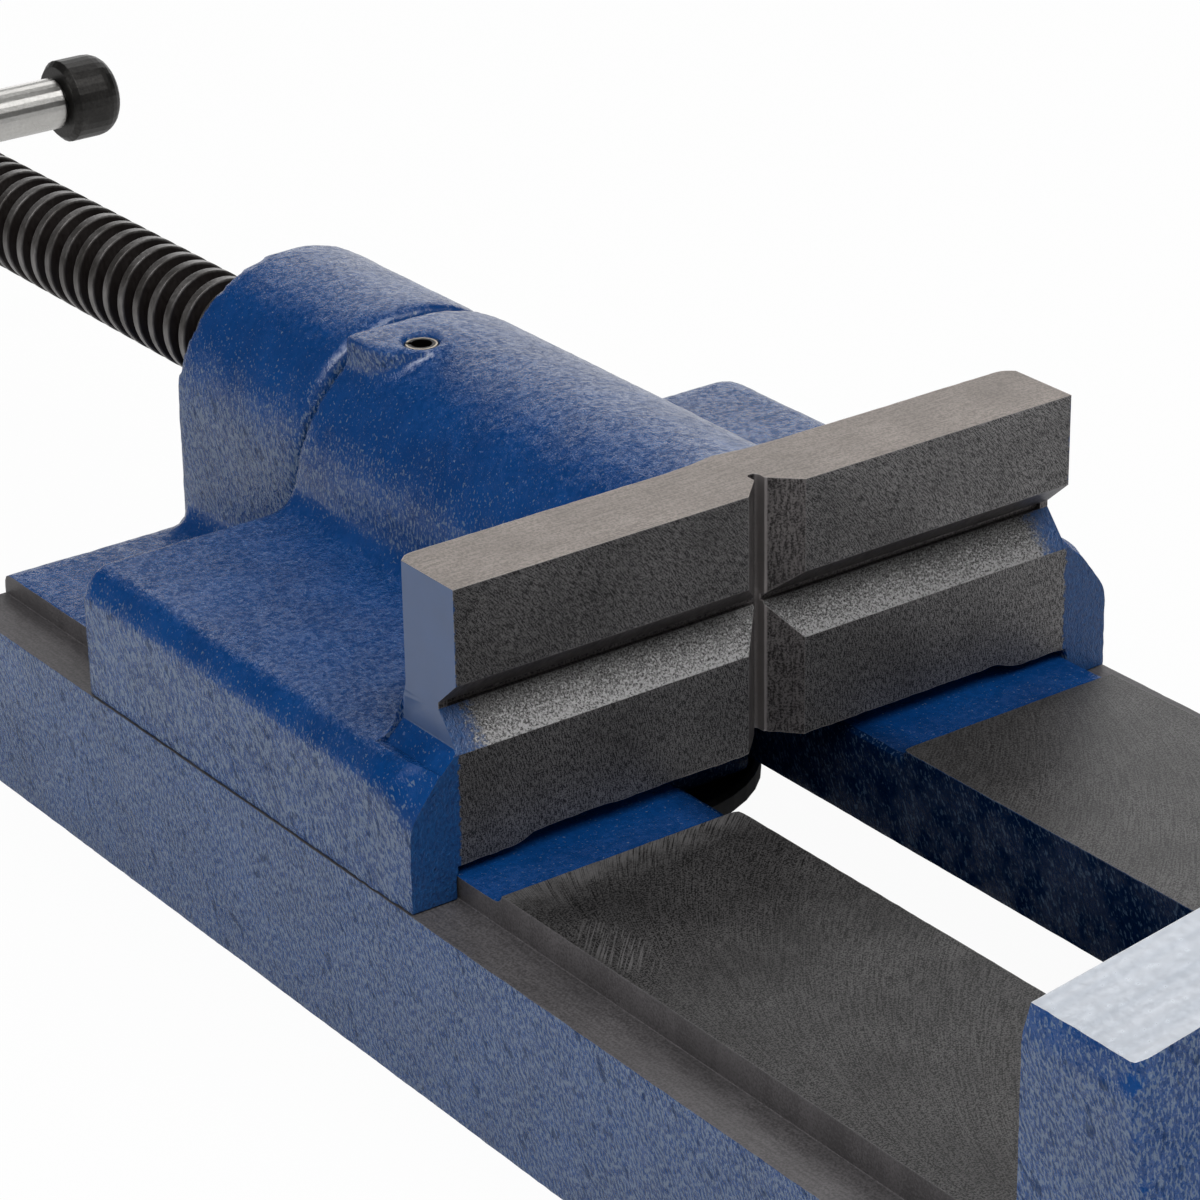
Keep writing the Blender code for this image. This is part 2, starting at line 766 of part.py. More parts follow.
def build_screw(material):
    """The screw without its thread; the thread's crests lie on its outer surface."""
    nose_end = slide_rear_y - nose_depth
    shoulder = slide_rear_y + touch_gap
    head = hub_front_y - touch_gap
    groove_low = pin_y - pin_radius - touch_gap
    groove_high = pin_y + pin_radius + touch_gap
    profile = [
        (0, head + spigot_length),
        (spigot_diameter / 2, head + spigot_length),
        (spigot_diameter / 2, head),
        (screw_radius - nose_chamfer, head),
        (screw_radius, head - nose_chamfer),
        (screw_radius, shoulder + nose_chamfer),
        (screw_radius - nose_chamfer, shoulder),
        (nose_radius, shoulder),
        (nose_radius, groove_high),
        (groove_radius, groove_high),
        (groove_radius, groove_low),
        (nose_radius, groove_low),
        (nose_radius, nose_end + nose_chamfer),
        (nose_radius - nose_chamfer, nose_end),
        (0, nose_end),
    ]
    screw = turned("lead_screw", profile, (0, 0, screw_z), "Y", vise, material, steps=48)
    cut(screw, hub_pin_bore("screw_pin_bore"))
    return screw


def hub_pin_bore(name):
    y = hub_front_y + hub_pin_setback
    reach = hub_diameter / 2 + overrun
    diameter = pin_diameter + 2 * touch_gap
    return bore(name, diameter, (0, y, screw_z - reach), (0, y, screw_z + reach), "Z", steps=24)


def build_hub(material):
    radius = hub_diameter / 2
    neck = hub_neck_diameter / 2
    profile = [
        (0, hub_rear_y),
        (radius - hub_chamfer, hub_rear_y),
        (radius, hub_rear_y - hub_chamfer),
        (radius, hub_front_y + hub_neck_length),
        (neck, hub_front_y),
        (0, hub_front_y),
    ]
    hub = turned("screw_head", profile, (0, 0, screw_z), "Y", vise, material)
    seat_end = hub_front_y + spigot_length + touch_gap
    cut(hub, bore("spigot_bore", spigot_diameter + 2 * touch_gap, (0, hub_front_y - overrun, screw_z),
                  (0, seat_end, screw_z), "Y"))
    reach = radius + overrun
    cut(hub, bore("bar_bore", bar_diameter + 2 * touch_gap, (-reach, bar_y, screw_z), (reach, bar_y, screw_z), "X"))
    cut(hub, hub_pin_bore("head_pin_bore"))
    return hub


def build_tommy_bar(material):
    knob_face = bar_overall / 2 - knob_length
    spigot_end = knob_face + bar_spigot_length
    radius = bar_diameter / 2
    spigot = bar_spigot_diameter / 2
    right = [
        (0, spigot_end),
        (spigot - bar_chamfer, spigot_end),
        (spigot, spigot_end - bar_chamfer),
        (spigot, knob_face - touch_gap),
        (radius - bar_chamfer, knob_face - touch_gap),
        (radius, knob_face - touch_gap - bar_chamfer),
    ]
    profile = right + [(r, -height) for r, height in reversed(right)]
    return turned("tommy_bar", profile, (0, bar_y, screw_z), "X", vise, material, steps=32)


def build_knob(name, side, material):
    radius = knob_diameter / 2
    hole = bar_spigot_diameter / 2 + touch_gap
    hole_end = bar_spigot_length + touch_gap
    profile = [(0, knob_length), (radius - knob_round, knob_length)]
    profile += arc(radius - knob_round, knob_length - knob_round, knob_round, math.pi / 2, 0, coarse_step)[1:]
    profile += [(radius, knob_chamfer), (radius - knob_chamfer, 0), (hole, 0), (hole, hole_end), (0, hole_end)]
    knob_face = bar_overall / 2 - knob_length
    knob = turned(name, profile, (side * knob_face, bar_y, screw_z), "X", vise, material, steps=32)
    if side < 0:
        knob.rotation_euler = (0, -math.pi / 2, 0)
    return knob


def build_spindle_pin(material):
    top = spine_crest_z - pin_recess
    return split_ring("spindle_pin", pin_radius, pin_radius - pin_wall, pin_split, (pin_x, pin_y),
                      math.radians(141), pin_bottom_z, top, "XY", material)


def build_head_pin(material):
    y = hub_front_y + hub_pin_setback
    reach = hub_diameter / 2 - pin_recess - hub_chamfer / 2
    return split_ring("head_pin", pin_radius, pin_radius - pin_wall, pin_split, (0, y), math.radians(90),
                      screw_z - reach, screw_z + reach, "XY", material)


blue_paint = make_material("blue_painted_casting", (0.010, 0.052, 0.205), 0.45, 0.0)
black_screw = make_material("blackened_screw", (0.020, 0.018, 0.017), 0.38, 0.6)
bright_steel = make_material("bright_steel", (0.56, 0.55, 0.53), 0.32, 1.0)
black_steel = make_material("black_oxide_steel", (0.030, 0.029, 0.028), 0.42, 0.7)
zinc_steel = make_material("zinc_plated_steel", (0.60, 0.61, 0.62), 0.35, 1.0)

build_base(blue_paint)
build_moving_jaw(blue_paint)
build_keeper(black_steel)
build_lock_washer(zinc_steel)
build_keeper_bolt(zinc_steel)
build_screw(black_screw)
build_hub(black_steel)
build_tommy_bar(bright_steel)
build_knob("bar_knob_left", -1, black_steel)
build_knob("bar_knob_right", 1, black_steel)
build_spindle_pin(bright_steel)
build_head_pin(bright_steel)
bpy.context.view_layer.update()
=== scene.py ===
"""Looks for the drill press vise.

Both castings are rebuilt from the CAD solids with a rough skin and machined faces, and the screw gets
its thread. The other pieces keep their CAD meshes. Lengths are in metres, in the CAD model's frame.
"""
import functools
import math

import bmesh
import bpy
import numpy as np
from mathutils import Matrix, Vector, noise


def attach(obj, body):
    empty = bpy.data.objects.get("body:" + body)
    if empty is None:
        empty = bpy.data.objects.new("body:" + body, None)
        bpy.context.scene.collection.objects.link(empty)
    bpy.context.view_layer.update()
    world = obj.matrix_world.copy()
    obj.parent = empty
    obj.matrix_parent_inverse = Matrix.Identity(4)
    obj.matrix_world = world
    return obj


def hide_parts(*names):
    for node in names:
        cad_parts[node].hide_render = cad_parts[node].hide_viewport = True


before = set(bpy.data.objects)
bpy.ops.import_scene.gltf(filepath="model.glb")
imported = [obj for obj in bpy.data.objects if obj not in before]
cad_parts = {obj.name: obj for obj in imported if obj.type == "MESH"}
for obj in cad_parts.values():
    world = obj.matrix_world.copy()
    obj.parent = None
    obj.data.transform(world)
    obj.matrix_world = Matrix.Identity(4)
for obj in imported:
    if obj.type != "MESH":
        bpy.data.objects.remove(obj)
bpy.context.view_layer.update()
scene = bpy.context.scene

# Places along the vise, repeated from the CAD source
fixed_face_y = -0.17225
milled_rear_y = -0.05975
face_y = -0.04925
bar_rear_y = -0.03555
lug_y = -0.00625
slide_rear_y = 0.03875
boss_y = slide_rear_y - 0.0057
post_front_y = 0.04175
base_rear_y = 0.07825
hub_front_y = 0.20425
pin_x, pin_y = -0.0070, 0.02895

# Heights, repeated from the CAD source
ledge_z = 0.0278
skirt_z = 0.0281
deck_z = 0.0327
underside_z = 0.0343
wing_top_z = 0.0483
screw_z = 0.0527
jaw_top_z = 0.0743

# Widths, repeated from the CAD source
slot_half = 0.015
shoulder_half_flat = 0.037
jaw_half = 0.055
deck_half = 0.0555
skirt_half = 0.0630
base_half = 0.0636
shoulder_fall = 0.0034 / (base_half - shoulder_half_flat)

# The screw, its pins' bores, and the gap between a piece and its bore
screw_radius = 0.009
thread_depth = 0.0024
pitch = 0.005
nose_radius = 0.007
nose_depth = 0.026
neck_radius = 0.0042
pin_bore_radius = 0.0028
touch_gap = 0.0003

# Grooves in the moving jaw: a level vee and an upright one, each with a relief at its root
groove_drop = 0.0143
groove_upper_flank = 0.0045
groove_lower_flank = 0.0058
groove_depth = 0.0044
relief_half = 0.0005
relief_depth = 0.0008
prism_half = 0.0051
prism_depth = 0.0050
prism_relief = 0.0009
prism_relief_depth = 0.0012

# Skin of the castings
stock = 0.0015
jaw_voxel = 0.0008
base_voxel = 0.00109
waves = [(0.00005, 90, (0, 0, 0)), (0.00006, 260, (7, 3, 1)), (0.00009, 600, (1, 9, 4))]

# The height where the bar's sides start to slope outwards, where the smooth paint on the bar's ends stops, and
# where the painted shade in the slot ends at the rear
bar_end_z = 0.0503
bar_end_rear_y = bar_rear_y - 0.0008
shade_rear_y = 0.0235

# How far cutters reach past the castings' sides, and a floor just under the base
far = 0.1
floor_z = -0.00005


# Meshes

def add_object(name, mesh):
    item = bpy.data.objects.new(name, mesh)
    scene.collection.objects.link(item)
    return item


def form_object(name, form):
    """A bmesh as an object of its own."""
    mesh = bpy.data.meshes.new(name)
    form.to_mesh(mesh)
    form.free()
    return add_object(name, mesh)


def solid_object(name, form):
    """A closed bmesh as an object, with its faces turned outwards."""
    bmesh.ops.recalc_face_normals(form, faces=form.faces)
    return form_object(name, form)


def settle(item):
    """Apply an object's modifiers to its mesh."""
    evaluated = item.evaluated_get(bpy.context.evaluated_depsgraph_get())
    mesh = bpy.data.meshes.new_from_object(evaluated)
    item.modifiers.clear()
    item.data = mesh


def corners(mesh):
    points = np.empty(len(mesh.vertices) * 3)
    mesh.vertices.foreach_get("co", points)
    return points.reshape(-1, 3)


def store(mesh, points):
    mesh.vertices.foreach_set("co", points.ravel())
    mesh.update()


def on_axis(radius, angle, y):
    """A point at an angle about the screw's axis."""
    return radius * math.sin(angle), y, screw_z + radius * math.cos(angle)


def prism(name, outline, plane, start, end):
    """A closed outline of (u, v) points extruded across its plane."""
    place = {
        "XY": lambda u, v, w: (u, v, w),
        "XZ": lambda u, v, w: (u, w, v),
        "YZ": lambda u, v, w: (w, u, v),
    }[plane]
    form = bmesh.new()
    low = [form.verts.new(place(u, v, start)) for u, v in outline]
    high = [form.verts.new(place(u, v, end)) for u, v in outline]
    form.faces.new(low)
    form.faces.new(high)
    for index in range(len(outline)):
        after = (index + 1) % len(outline)
        form.faces.new((low[index], low[after], high[after], high[index]))
    return solid_object(name, form)


def block(name, low, high):
    outline = [(low[0], low[1]), (high[0], low[1]), (high[0], high[1]), (low[0], high[1])]
    return prism(name, outline, "XY", low[2], high[2])


def arc(centre_u, centre_v, radius, start, end, count):
    angles = [start + (end - start) * index / count for index in range(count + 1)]
    return [(centre_u + radius * math.cos(a), centre_v + radius * math.sin(a)) for a in angles]


def rod(name, radius, centre, axis, start, end, count=64):
    plane = {"Y": "XZ", "Z": "XY"}[axis]
    outline = arc(centre[0], centre[1], radius, 0, 2 * math.pi, count)[:-1]
    return prism(name, outline, plane, start, end)


def turned(name, profile, count=96):
    """A profile of (radius, y) points turned about the screw's axis, with both ends closed."""
    form = bmesh.new()
    angles = [2 * math.pi * index / count for index in range(count)]
    rings = [[form.verts.new(on_axis(radius, angle, y)) for angle in angles] for radius, y in profile]
    for low, high in zip(rings, rings[1:]):
        for index in range(count):
            after = (index + 1) % count
            form.faces.new((low[index], low[after], high[after], high[index]))
    form.faces.new(rings[0])
    form.faces.new(rings[-1])
    return solid_object(name, form)


def combine(item, others, operation):
    """Boolean with each of the others in turn, which are then removed."""
    for other in others:
        step = item.modifiers.new(other.name, "BOOLEAN")
        step.solver = "MANIFOLD"
        step.operation = operation
        step.object = other
    settle(item)
    for other in others:
        bpy.data.objects.remove(other, do_unlink=True)


def cad_copy(node, name):
    """A welded copy of a CAD node's mesh."""
    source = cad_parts[node]
    mesh = source.data.copy()
    mesh.transform(source.matrix_world)
    form = bmesh.new()
    form.from_mesh(mesh)
    bmesh.ops.remove_doubles(form, verts=form.verts, dist=0.000002)
    form.to_mesh(mesh)
    form.free()
    return add_object(name, mesh)


def everywhere(points):
    return np.ones(len(points), dtype=bool)


def push_out(item, planes):
    """Move the corners on each plane (axis, place, shift, test), so that a cutter can face the casting there."""
    points = corners(item.data)
    fixed = points.copy()
    for axis, place, shift, test in planes:
        chosen = (abs(fixed[:, axis] - place) < 0.0002) & test(fixed)
        points[chosen, axis] += shift
    store(item.data, points)


def blend_skin(item, chosen, rounds):
    """Smooth the chosen points further, for a hollow fillet or a run-out."""
    group = item.vertex_groups.new(name="blend")
    share = chosen(corners(item.data))
    for index in np.nonzero(share > 0.01)[0]:
        group.add([int(index)], float(share[index]), "REPLACE")
    step = item.modifiers.new("blend", "SMOOTH")
    step.factor = 0.5
    step.iterations = rounds
    step.vertex_group = "blend"
    settle(item)
    item.vertex_groups.clear()


def cast_skin(item, voxel, rounding, calm, blends):
    """Rebuild a casting with rounded edges and an uneven skin.

    calm gives how much of the unevenness each point keeps, and blends lists what is smoothed further.
    """
    skin = item.modifiers.new("skin", "REMESH")
    skin.mode = "VOXEL"
    skin.voxel_size = voxel
    round_off = item.modifiers.new("rounding", "SMOOTH")
    round_off.factor = 0.5
    round_off.iterations = rounding
    settle(item)
    for chosen, rounds in blends:
        blend_skin(item, chosen, rounds)
    mesh = item.data
    points = corners(mesh)
    normals = np.empty(len(mesh.vertices) * 3)
    mesh.vertex_normals.foreach_get("vector", normals)
    lift = np.array([
        sum(height * noise.noise(Vector(p) * rate + Vector(offset)) for height, rate, offset in waves)
        for p in points
    ])
    points += normals.reshape(-1, 3) * (lift * calm(points))[:, None]
    store(mesh, points)


def finish_mesh(item, materials, planes=(), cut=None, angle=36):
    """Smooth shading with sharp machined edges, and flat shading and a material on each machined plane.

    The first of the named materials covers what no plane takes. planes lists (point, normal, name), and
    cut is a (test, name) pair for faces that get a material unless a plane takes them.
    """
    mesh = item.data
    mesh.materials.clear()
    for material in materials.values():
        mesh.materials.append(material)
    slots = list(materials)
    count = len(mesh.polygons)
    centres = np.empty(count * 3)
    normals = np.empty(count * 3)
    mesh.polygons.foreach_get("center", centres)
    mesh.polygons.foreach_get("normal", normals)
    centres = centres.reshape(-1, 3)
    normals = normals.reshape(-1, 3)
    index = np.zeros(count, dtype=np.int32)
    if cut:
        test, name = cut
        index[test(centres)] = slots.index(name)
    for point, normal, name in planes:
        normal = np.array(Vector(normal).normalized())
        in_plane = abs((centres - np.array(point)) @ normal) < 0.00002
        index[(normals @ normal > 0.9995) & in_plane] = slots.index(name)
    mesh.polygons.foreach_set("material_index", index)
    mesh.polygons.foreach_set("use_smooth", index == 0)
    mesh.update()
    mesh.set_sharp_from_angle(angle=math.radians(angle))


# Materials

class Look:
    """One material: its Principled shader and short names for the nodes that feed it."""

    def __init__(self, name, colour, roughness, metallic=0.0, specular=0.5):
        self.material = bpy.data.materials.new(name)
        self.material.use_nodes = True
        self.tree = self.material.node_tree
        self.shader = self.tree.nodes["Principled BSDF"]
        self.set("Base Color", colour)
        self.set("Roughness", roughness)
        self.set("Metallic", metallic)
        self.set("Specular IOR Level", specular)
        self.place = self.node("ShaderNodeTexCoord").outputs["Object"]

    def set(self, socket, value):
        self.feed(self.shader.inputs[socket], value)

    def feed(self, socket, value):
        if isinstance(value, bpy.types.NodeSocket):
            self.tree.links.new(value, socket)
        elif isinstance(value, tuple) and len(value) == 3 and socket.type == "RGBA":
            socket.default_value = (*value, 1)
        else:
            socket.default_value = value

    def node(self, kind, inputs=None, **settings):
        made = self.tree.nodes.new(kind)
        for key, value in settings.items():
            setattr(made, key, value)
        for key, value in (inputs or {}).items():
            self.feed(made.inputs[key], value)
        return made

    def math(self, operation, a, b=0.0, clamp=False):
        made = self.node("ShaderNodeMath", {0: a, 1: b}, operation=operation, use_clamp=clamp)
        return made.outputs[0]

    def plus(self, *values):
        return functools.reduce(lambda a, b: self.math("ADD", a, b), values)

    def times(self, *values):
        return functools.reduce(lambda a, b: self.math("MULTIPLY", a, b), values)

    def most(self, *values):
        return functools.reduce(lambda a, b: self.math("MAXIMUM", a, b), values)

    def less(self, a, b):
        return self.math("SUBTRACT", a, b)

    def rest(self, value):
        """What a share leaves of 1."""
        return self.less(1.0, value)

    def squares(self, a, b):
        return self.plus(self.times(a, a), self.times(b, b))

    def span(self, value, low, high, out_low=0.0, out_high=1.0, smooth=False):
        """The value's range from low to high drawn out over another range, and held at its ends."""
        kind = "SMOOTHSTEP" if smooth else "LINEAR"
        inputs = {"Value": value, "From Min": low, "From Max": high, "To Min": out_low, "To Max": out_high}
        return self.node("ShaderNodeMapRange", inputs, interpolation_type=kind).outputs[0]

    def mix(self, share, a, b):
        made = self.node("ShaderNodeMix", data_type="RGBA")
        self.feed(made.inputs[0], share)
        self.feed(made.inputs[6], a)
        self.feed(made.inputs[7], b)
        return made.outputs[2]

    def layers(self, shade, coats):
        """A colour under coats of (share, colour), the last one on top."""
        for share, colour in coats:
            shade = self.mix(share, shade, colour)
        return shade

    def grain(self, size, detail=2.0, rough=0.5, stretch=(1, 1, 1), lean=0):
        """Noise with features of about size metres; stretch lengthens them along axes that lean about X."""
        turn = (math.radians(lean), 0, 0)
        inputs = {"Vector": self.place, "Scale": stretch, "Rotation": turn}
        place = self.node("ShaderNodeMapping", inputs, vector_type="TEXTURE").outputs[0]
        inputs = {"Vector": place, "Scale": 1 / size, "Detail": detail, "Roughness": rough}
        return self.node("ShaderNodeTexNoise", inputs).outputs[0]

    def axes(self):
        return self.node("ShaderNodeSeparateXYZ", {0: self.place}).outputs

    def strokes(self, across, along, size, stretch, detail=2.0):
        """Cutter lines: noise that changes over size metres across them and stretch times as slowly along."""
        along = self.math("DIVIDE", along, stretch)
        place = self.node("ShaderNodeCombineXYZ", {0: across, 1: along}).outputs[0]
        inputs = {"Vector": place, "Scale": 1 / size, "Detail": detail}
        return self.node("ShaderNodeTexNoise", inputs).outputs[0]

    def sweep(self, across, radius, centre):
        """How far a face mill's arc stands forward at a place across its feed."""
        off = self.less(across, centre)
        rise = self.less(radius * radius, self.times(off, off))
        return self.math("SQRT", self.most(rise, 0.0))

    def box(self, low, high, soft):
        """1 inside a box given by low and high corners, with None for an open side."""
        walls = []
        for axis, start, end in zip(self.axes(), low, high):
            for limit, sign in ((start, 1), (end, -1)):
                if limit is not None:
                    walls.append(self.span(self.times(axis, sign), sign * limit - soft, sign * limit + soft))
        return self.times(*walls)

    def facing(self):
        """The surface's own normal, as separate axes that turn with the piece."""
        normal = self.node("ShaderNodeTexCoord").outputs["Normal"]
        return self.node("ShaderNodeSeparateXYZ", {0: normal}).outputs

    def edge_wear_and_highlight(self, radius):
        """1 on sharp edges, where the rounded normal leaves the true one."""
        rounded = self.node("ShaderNodeBevel", {"Radius": radius}, samples=6).outputs[0]
        true = self.node("ShaderNodeNewGeometry").outputs["True Normal"]
        match = self.node("ShaderNodeVectorMath", {0: rounded, 1: true}, operation="DOT_PRODUCT")
        return self.span(match.outputs["Value"], 0.985, 0.90)

    def bump(self, height, distance, edge=0.0):
        """Relief of about distance metres, on edges that look rounded by edge metres."""
        made = self.node("ShaderNodeBump", {"Height": height, "Distance": distance, "Strength": 1.0})
        if edge:
            rounded = self.node("ShaderNodeBevel", {"Radius": edge}, samples=4)
            self.tree.links.new(rounded.outputs[0], made.inputs["Normal"])
        self.set("Normal", made.outputs[0])


def toned(colour, share):
    """A colour made lighter or darker."""
    return tuple(min(c * share, 0.9) for c in colour)


def paint_bumps(look):
    """The cast grain under the paint, drawn out down the sides and calmer in places, and its fine part."""
    coarse = look.grain(0.0011, 2, 0.55, stretch=(1, 1, 1.5), lean=-28)
    fine = look.grain(0.00040, 2, 0.55, stretch=(1, 1, 2.2), lean=-28)
    crease = look.math("ABSOLUTE", look.less(fine, 0.5))
    height = look.less(look.times(coarse, 0.80), look.times(crease, 1.1))
    calm = look.span(look.grain(0.008, 2, 0.5), 0.38, 0.60, 0.70, 1.0)
    return look.times(height, calm), fine


def bar_ends(look):
    """The smooth painted ends of the moving jaw's bar."""
    low_y = face_y - 0.01
    left = look.box((None, low_y, bar_end_z), (-jaw_half + 0.0003, bar_end_rear_y, None), 0.0002)
    right = look.box((jaw_half - 0.0003, low_y, bar_end_z), (None, bar_end_rear_y, None), 0.0002)
    return look.plus(left, right)


def painted_slot_shade(look, inside):
    """Painted shade inside the base's slot and on the lip round it."""
    lip_half = slot_half + 0.0040
    low = (-lip_half, milled_rear_y - 0.001, deck_z - 0.0022)
    lip = look.box(low, (lip_half, shade_rear_y, deck_z), 0.0020)
    cloud = look.span(look.grain(0.006, 3, 0.6), 0.3, 0.7, 0.86, 1.0)
    return look.times(look.most(inside, lip), cloud)


def paint_look():
    """Glossy blue paint over a sand-cast skin, with painted light and shade: a painted pale sheen on the sides,
    painted highlights and shade in wrinkles on the tops, and painted shade in the slot.
    """
    look = Look("blue_cast_paint", (0.0035, 0.050, 0.205), 0.2)
    height, fine = paint_bumps(look)

    # lying is 1 on a level surface and 0 on an upright one
    lying = look.math("ABSOLUTE", look.facing()[2])
    side = look.span(lying, 0.12, 0.42, 1.0, 0.0, smooth=True)
    strip = look.box((None, milled_rear_y - 0.002, deck_z - 0.004), (None, -0.015, deck_z + 0.0005), 0.0005)
    level = look.times(look.span(lying, 0.80, 1.0), look.rest(strip))
    bar_end = bar_ends(look)
    rough = look.rest(bar_end)
    wall = slot_half + 0.0012
    inside = look.box((-wall, fixed_face_y + 0.0080, None), (wall, shade_rear_y, deck_z - 0.0001), 0.0001)
    # Painted shade in the slot, on its lip and on the moving jaw's lug below the deck
    slot_shade = painted_slot_shade(look, inside)

    # Painted sheen: pale fibres, thinned out on level surfaces, that make the upright sides look paler
    sparse = look.span(lying, 0.10, 0.75, 0.0, 0.17)
    fibre_sheen = look.times(look.span(look.less(fine, sparse), 0.485, 0.55), rough)
    # Painted highlight: pale blue ripples on level tops
    ripple_glint = look.times(look.span(fine, 0.51, 0.57), level, rough)
    # Painted shade: dark wrinkles on the tops, which also dull the gloss there
    wrinkle = look.span(look.grain(0.00100, 2, 0.6), 0.52, 0.45)
    trough_shade = look.times(wrinkle, look.span(lying, 0.55, 0.85), rough)
    # Painted shade: dark lines between the pale fibres on the sides
    gap = look.times(look.span(fine, 0.46, 0.40), rough, side)
    # Painted shade: dark pits on the sides, which also dull the gloss
    pits = look.span(look.grain(0.0016, 2, 0.6, stretch=(1, 1, 1.8), lean=-28), 0.375, 0.345)
    pits = look.times(pits, side, rough, 0.65)
    # Light specks: partly dust and partly painted sparkle
    dust_and_sparkle = look.times(look.span(look.grain(0.0008, 1, 0.5), 0.72, 0.77), rough)
    streak = look.times(look.span(fine, 0.58, 0.63), inside)

    tone = look.grain(0.012, 3, 0.6)
    shade = look.mix(look.span(tone, 0.35, 0.65), (0.0030, 0.044, 0.182), (0.0046, 0.058, 0.228))
    look.set("Base Color", look.layers(shade, [
        (look.times(fibre_sheen, 0.56), (0.185, 0.245, 0.31)),
        # Painted sheen: the smooth bar ends drawn paler grey where they stand upright
        (look.times(bar_end, side, 0.42), (0.17, 0.20, 0.24)),
        (look.times(ripple_glint, 0.26), (0.050, 0.17, 0.44)),
        (look.times(trough_shade, 0.35), (0.0018, 0.026, 0.105)),
        (look.times(gap, 0.45), (0.0020, 0.028, 0.110)),
        (pits, (0.0018, 0.022, 0.085)),
        (look.times(dust_and_sparkle, 0.25), (0.22, 0.30, 0.50)),
        (slot_shade, (0.0008, 0.0085, 0.034)),
        (look.times(streak, 0.50), (0.07, 0.12, 0.20)),
    ]))

    look.set("Roughness", look.span(look.grain(0.0025), 0.3, 0.7, 0.15, 0.25))
    flare = look.box((None, face_y - 0.001, 0.0430), (None, face_y + 0.0105, 0.0502), 0.001)
    ends = look.plus(look.times(gap, 0.6), bar_end)
    dull = look.times(look.most(ends, look.times(flare, 1.4)), 0.55)
    dull = look.most(dull, look.times(trough_shade, 0.75), pits, slot_shade)
    look.set("Specular IOR Level", look.span(dull, 0.0, 0.95, 0.75, 0.0))
    strength = look.plus(0.34, look.times(side, 0.80), look.times(level, 0.45))
    strength = look.times(strength, look.rest(look.times(bar_end, 0.95)))
    look.bump(look.times(height, strength), 0.00042)
    return look.material


def metal_look(name, colour, light, roughness, cut=None, grain_size=0.0004, share=0.5, distance=0.00004,
               metallic=0.85, painted=None, lit=None, spread=0.09, cloudy=0.35):
    """Machined iron in two tones.

    cut draws the cutter's lines, and share is how much they count against the grain's pits. spread is
    how softly the tones meet, cloudy how much darker some patches are, and lit marks where the metal is
    drawn lighter, for rubbing and for painted highlights. painted marks where blue paint covers the metal.
    """
    look = Look(name, colour, roughness, metallic=metallic)
    speck = look.grain(grain_size, 2, 0.65)
    height = speck
    if cut:
        height = look.plus(look.times(speck, 1 - share), look.times(cut(look), share))
    shade = look.mix(look.span(height, 0.5 - spread, 0.5 + spread), colour, light)
    patch = look.span(look.grain(0.011, 2, 0.5), 0.3, 0.7, 0.0, cloudy)
    coats = [(patch, toned(colour, 0.72))]
    if lit:
        coats.append((lit(look), toned(light, 1.9)))
    # Paler sharp edges: partly wear and partly a painted highlight along them
    coats.append((look.times(look.edge_wear_and_highlight(0.00035), 0.45), toned(light, 1.6)))
    if painted:
        mask = painted(look)
        bumps, fine = paint_bumps(look)
        blue = look.mix(look.span(fine, 0.35, 0.65), (0.0028, 0.036, 0.140), (0.007, 0.070, 0.225))
        coats.append((mask, blue))
        look.set("Metallic", look.math("SUBTRACT", metallic, mask, clamp=True))
        bare = look.times(height, look.rest(mask))
        height = look.plus(bare, look.times(bumps, mask, 0.0003 / distance))
    look.set("Base Color", look.layers(shade, coats))
    look.set("Roughness", look.span(speck, 0.3, 0.7, roughness - 0.07, roughness + 0.1))
    look.bump(height, distance, edge=0.00022)
    return look.material


def lines(across, along, size, stretch, detail=2.0):
    """Straight cutter lines, for metal_look; across and along number the object's axes."""
    return lambda look: look.strokes(look.axes()[across], look.axes()[along], size, stretch, detail)


def face_cut(look):
    """The arcs of a wide face mill fed along the jaw."""
    x, _, z = look.axes()
    return look.strokes(look.less(x, look.sweep(z, 0.060, 0.030)), z, 0.00018, 6)


def deck_cut(look):
    """Arcs of a face mill fed along the base; they bulge the other way on the right rail."""
    x, y, _ = look.axes()
    arcs = look.times(look.sweep(look.math("ABSOLUTE", x), 0.100, -0.045), look.math("SIGN", x))
    return look.strokes(look.plus(y, arcs), x, 0.00028, 14)


def deck_rubbed_and_lit(look):
    """Rubbed metal along the left rail's step, a patch of scratches on it, and a painted reflection that makes the
    right rail brighter.
    """
    x, y, _ = look.axes()
    cloud = look.grain(0.004, 3, 0.65)
    near = look.span(look.plus(y, look.times(cloud, 0.010)), milled_rear_y - 0.0010, milled_rear_y + 0.0060)
    left = look.math("LESS_THAN", x, 0.0)
    rubbed = look.times(near, left, look.span(deck_cut(look), 0.36, 0.54), 0.9)
    off_x = look.math("DIVIDE", look.plus(x, 0.0515), 0.0042)
    off_y = look.math("DIVIDE", look.plus(y, 0.0800), 0.0085)
    scratches = look.strokes(look.less(x, y), look.plus(x, y), 0.00040, 40)
    patch = look.times(look.span(look.squares(off_x, off_y), 1.2, 0.4), look.span(scratches, 0.50, 0.60), 0.60)
    # Painted reflection: the right rail drawn brighter
    right = look.times(look.math("GREATER_THAN", x, 0.0), 0.10)
    return look.most(rubbed, patch, right)


def flank_lit(look):
    """Painted light on the groove's lower flank, brighter towards its outer edge."""
    speck = look.grain(0.00034, 3, 0.7)
    out = look.span(look.axes()[1], face_y + groove_depth, face_y, -0.10, 0.11)
    return look.span(look.plus(speck, out), 0.50, 0.62, 0.0, 0.80)


def recess_lit(look):
    """A painted highlight: a bright line down the right side of the upright groove's root."""
    return look.times(look.box((0.0006, None, None), (0.0012, None, None), 0.0001), 0.8)


